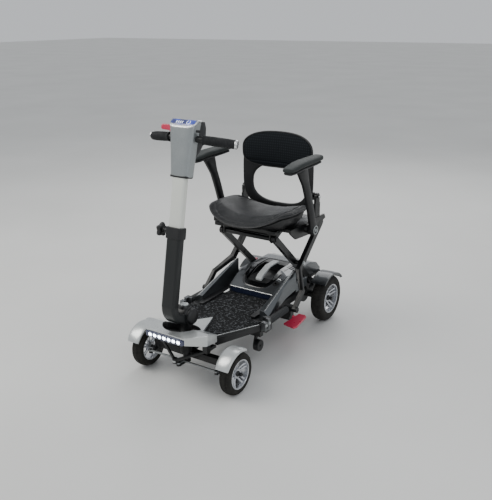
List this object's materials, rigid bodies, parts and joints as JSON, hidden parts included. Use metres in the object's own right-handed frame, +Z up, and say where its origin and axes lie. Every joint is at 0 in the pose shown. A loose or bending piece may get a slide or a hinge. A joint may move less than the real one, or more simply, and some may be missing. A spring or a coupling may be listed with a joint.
{
  "type": "mobility scooter",
  "caption": "Folding travel mobility scooter with a steering tiller, carpeted deck, scissor-lift seat with flip-up armrests and a lift-out battery.",
  "frame": {"origin": "on the floor, in the middle of the scooter's footprint", "axes": "+Z up, the scooter faces -Y, +X is the rider's left"},
  "size_m": [0.479, 0.986, 0.9435],
  "materials": {
    "frame_black": "satin",
    "arm_black": "gloss",
    "shell_silver": "metallic gloss",
    "shell_gunmetal": "metallic satin",
    "console_grey": "metallic satin",
    "black_plastic": "matte",
    "dark_plastic": "satin",
    "tyre": "matte",
    "rim_silver": "satin",
    "stem_tube": "satin",
    "bracket_metal": "satin",
    "rod_steel": "satin",
    "carpet": "tufted",
    "seat_vinyl": "satin",
    "back_fabric": "matte",
    "armrest_foam": "matte",
    "grip_rubber": "matte",
    "red_plastic": "satin",
    "lamp": "gloss",
    "display": "gloss"
  },
  "bodies": {
    "chassis": {"front_frame": "frame_black", "rear_frame": "frame_black", "deck_panel": "black_plastic", "deck_mat": "carpet", "bumper": "shell_silver", "headlight": "lamp", "guard_bar": "frame_black", "hinge_brackets": "bracket_metal", "rear_cover": "shell_gunmetal", "fairing_left": "shell_silver", "fairing_right": "shell_silver", "rear_fenders": "shell_gunmetal", "transaxle": "frame_black", "side_rails": "frame_black", "rail_bellows": "black_plastic", "rear_bumper": "frame_black", "charge_port": "black_plastic"},
    "battery": {"battery_pack": "black_plastic", "battery_handle": "bracket_metal"},
    "pedal": {"fold_pedal": "red_plastic"},
    "freewheel": {"freewheel_lever": "red_plastic"},
    "trolley_left": {"trolley_wheel_left": "tyre"},
    "trolley_right": {"trolley_wheel_right": "tyre"},
    "anti_tip": {"anti_tip_wheels": "tyre"},
    "column": {"steering_column": "frame_black"},
    "tie_rod_body": {"tie_rod": "rod_steel"},
    "steer_left": {"knuckle_left": "frame_black", "front_fender_left": "shell_silver"},
    "steer_right": {"knuckle_right": "frame_black", "front_fender_right": "shell_silver"},
    "front_wheel_left": {"front_tyre_left": "tyre", "front_rim_left": "rim_silver"},
    "front_wheel_right": {"front_tyre_right": "tyre", "front_rim_right": "rim_silver"},
    "rear_wheel_left": {"rear_tyre_left": "tyre", "rear_rim_left": "rim_silver"},
    "rear_wheel_right": {"rear_tyre_right": "tyre", "rear_rim_right": "rim_silver"},
    "tiller": {"lower_stem": "frame_black"},
    "knob": {"clamp_knob": "black_plastic"},
    "head": {"upper_stem": "stem_tube", "console_front": "console_grey", "console_rear": "dark_plastic", "console_panel": "display", "handlebar": "frame_black", "grips": "grip_rubber"},
    "throttle": {"throttle_lever": "red_plastic"},
    "outer_arms": {"outer_arm_left": "arm_black", "outer_arm_right": "arm_black"},
    "inner_arms": {"inner_arm_left": "arm_black", "inner_arm_right": "arm_black", "cross_bar": "arm_black"},
    "seat": {"seat_frame": "frame_black", "seat_cushion": "seat_vinyl"},
    "backrest": {"backrest_frame": "black_plastic", "backrest_pad": "back_fabric"},
    "armrest_l": {"armrest_left": "black_plastic", "armrest_pad_left": "armrest_foam"},
    "armrest_r": {"armrest_right": "black_plastic", "armrest_pad_right": "armrest_foam"}
  },
  "joints": [
    {"name": "steering", "type": "hinge", "parent": "chassis", "child": "column", "pos_m": [0, -0.375, 0.2], "axis": [0, 0, 1], "range_deg": [-32, 32]},
    {"name": "steer_left_turn", "type": "hinge", "parent": "chassis", "child": "steer_left", "pos_m": [0.15, -0.353, 0.1], "axis": [0, 0, 1], "range_deg": [-32, 32]},
    {"name": "steer_right_turn", "type": "hinge", "parent": "chassis", "child": "steer_right", "pos_m": [-0.15, -0.353, 0.1], "axis": [0, 0, 1], "range_deg": [-32, 32]},
    {"name": "tie_rod_turn", "type": "hinge", "parent": "column", "child": "tie_rod_body", "pos_m": [0, -0.42, 0.09], "axis": [0, 0, 1], "range_deg": [-32, 32]},
    {"name": "front_wheel_left_spin", "type": "hinge", "parent": "steer_left", "child": "front_wheel_left", "pos_m": [0.1995, -0.353, 0.078], "axis": [1, 0, 0], "continuous": true},
    {"name": "front_wheel_right_spin", "type": "hinge", "parent": "steer_right", "child": "front_wheel_right", "pos_m": [-0.1995, -0.353, 0.078], "axis": [1, 0, 0], "continuous": true},
    {"name": "rear_wheel_left_spin", "type": "hinge", "parent": "chassis", "child": "rear_wheel_left", "pos_m": [0.1817, 0.371, 0.1015], "axis": [1, 0, 0], "continuous": true},
    {"name": "rear_wheel_right_spin", "type": "hinge", "parent": "chassis", "child": "rear_wheel_right", "pos_m": [-0.1817, 0.371, 0.1015], "axis": [1, 0, 0], "continuous": true},
    {"name": "tiller_fold", "type": "hinge", "parent": "column", "child": "tiller", "pos_m": [0, -0.375, 0.262], "axis": [-1, 0, 0], "range_deg": [0, 27]},
    {"name": "knob_turn", "type": "hinge", "parent": "tiller", "child": "knob", "pos_m": [-0.046, -0.4041, 0.57479], "axis": [-1, 0, 0], "range_deg": [0, 180]},
    {"name": "stem_slide", "type": "slide", "parent": "tiller", "child": "head", "axis": [0, 0.1908, 0.9816], "range_m": [-0.12, 0.05]},
    {"name": "throttle_press", "type": "hinge", "parent": "head", "child": "throttle", "pos_m": [-0.057, -0.33408, 0.89838], "axis": [0, 0.1908, 0.9816], "range_deg": [-12, 12], "stiffness_Nm_per_rad": 0.3},
    {"name": "seat_fold", "type": "hinge", "parent": "chassis", "child": "outer_arms", "pos_m": [0, 0.0375, 0.1765], "axis": [-1, 0, 0], "range_deg": [0, 22]},
    {"name": "arm_cross", "type": "hinge", "parent": "outer_arms", "child": "inner_arms", "pos_m": [0, 0.18799, 0.312], "axis": [-1, 0, 0], "range_deg": [-44, 0]},
    {"name": "seat_level", "type": "hinge", "parent": "inner_arms", "child": "seat", "pos_m": [0, 0.0375, 0.4475], "axis": [-1, 0, 0], "range_deg": [0, 22]},
    {"name": "backrest_fold", "type": "hinge", "parent": "seat", "child": "backrest", "pos_m": [0, 0.279, 0.57], "axis": [1, 0, 0], "range_deg": [0, 65]},
    {"name": "armrest_left_raise", "type": "hinge", "parent": "seat", "child": "armrest_l", "pos_m": [0.212, 0.177, 0.465], "axis": [-1, 0, 0], "range_deg": [0, 75]},
    {"name": "armrest_right_raise", "type": "hinge", "parent": "seat", "child": "armrest_r", "pos_m": [-0.212, 0.177, 0.465], "axis": [-1, 0, 0], "range_deg": [0, 75]},
    {"name": "pedal_press", "type": "hinge", "parent": "chassis", "child": "pedal", "pos_m": [0.14, 0.117, 0.1], "axis": [1, 0, 0], "range_deg": [0, 25], "stiffness_Nm_per_rad": 2, "springref_deg": -11.46},
    {"name": "freewheel_turn", "type": "hinge", "parent": "chassis", "child": "freewheel", "pos_m": [-0.137, 0.337, 0.206], "axis": [-1, 0, 0], "range_deg": [0, 30]},
    {"name": "trolley_left_spin", "type": "hinge", "parent": "chassis", "child": "trolley_left", "pos_m": [0.15, -0.127, 0.076], "axis": [1, 0, 0], "continuous": true},
    {"name": "trolley_right_spin", "type": "hinge", "parent": "chassis", "child": "trolley_right", "pos_m": [-0.15, -0.127, 0.076], "axis": [1, 0, 0], "continuous": true},
    {"name": "anti_tip_spin", "type": "hinge", "parent": "chassis", "child": "anti_tip", "pos_m": [0, 0.473, 0.032], "axis": [1, 0, 0], "continuous": true},
    {"name": "battery_lift", "type": "slide", "parent": "chassis", "child": "battery", "axis": [0, 0, -1], "range_m": [-0.08, 0]}
  ],
  "couplings": [
    {"joint": "steer_left_turn", "follows": "steering", "ratio": 1},
    {"joint": "steer_right_turn", "follows": "steering", "ratio": 1},
    {"joint": "tie_rod_turn", "follows": "steering", "ratio": -1},
    {"joint": "arm_cross", "follows": "seat_fold", "ratio": -2},
    {"joint": "seat_level", "follows": "seat_fold", "ratio": 1}
  ]
}
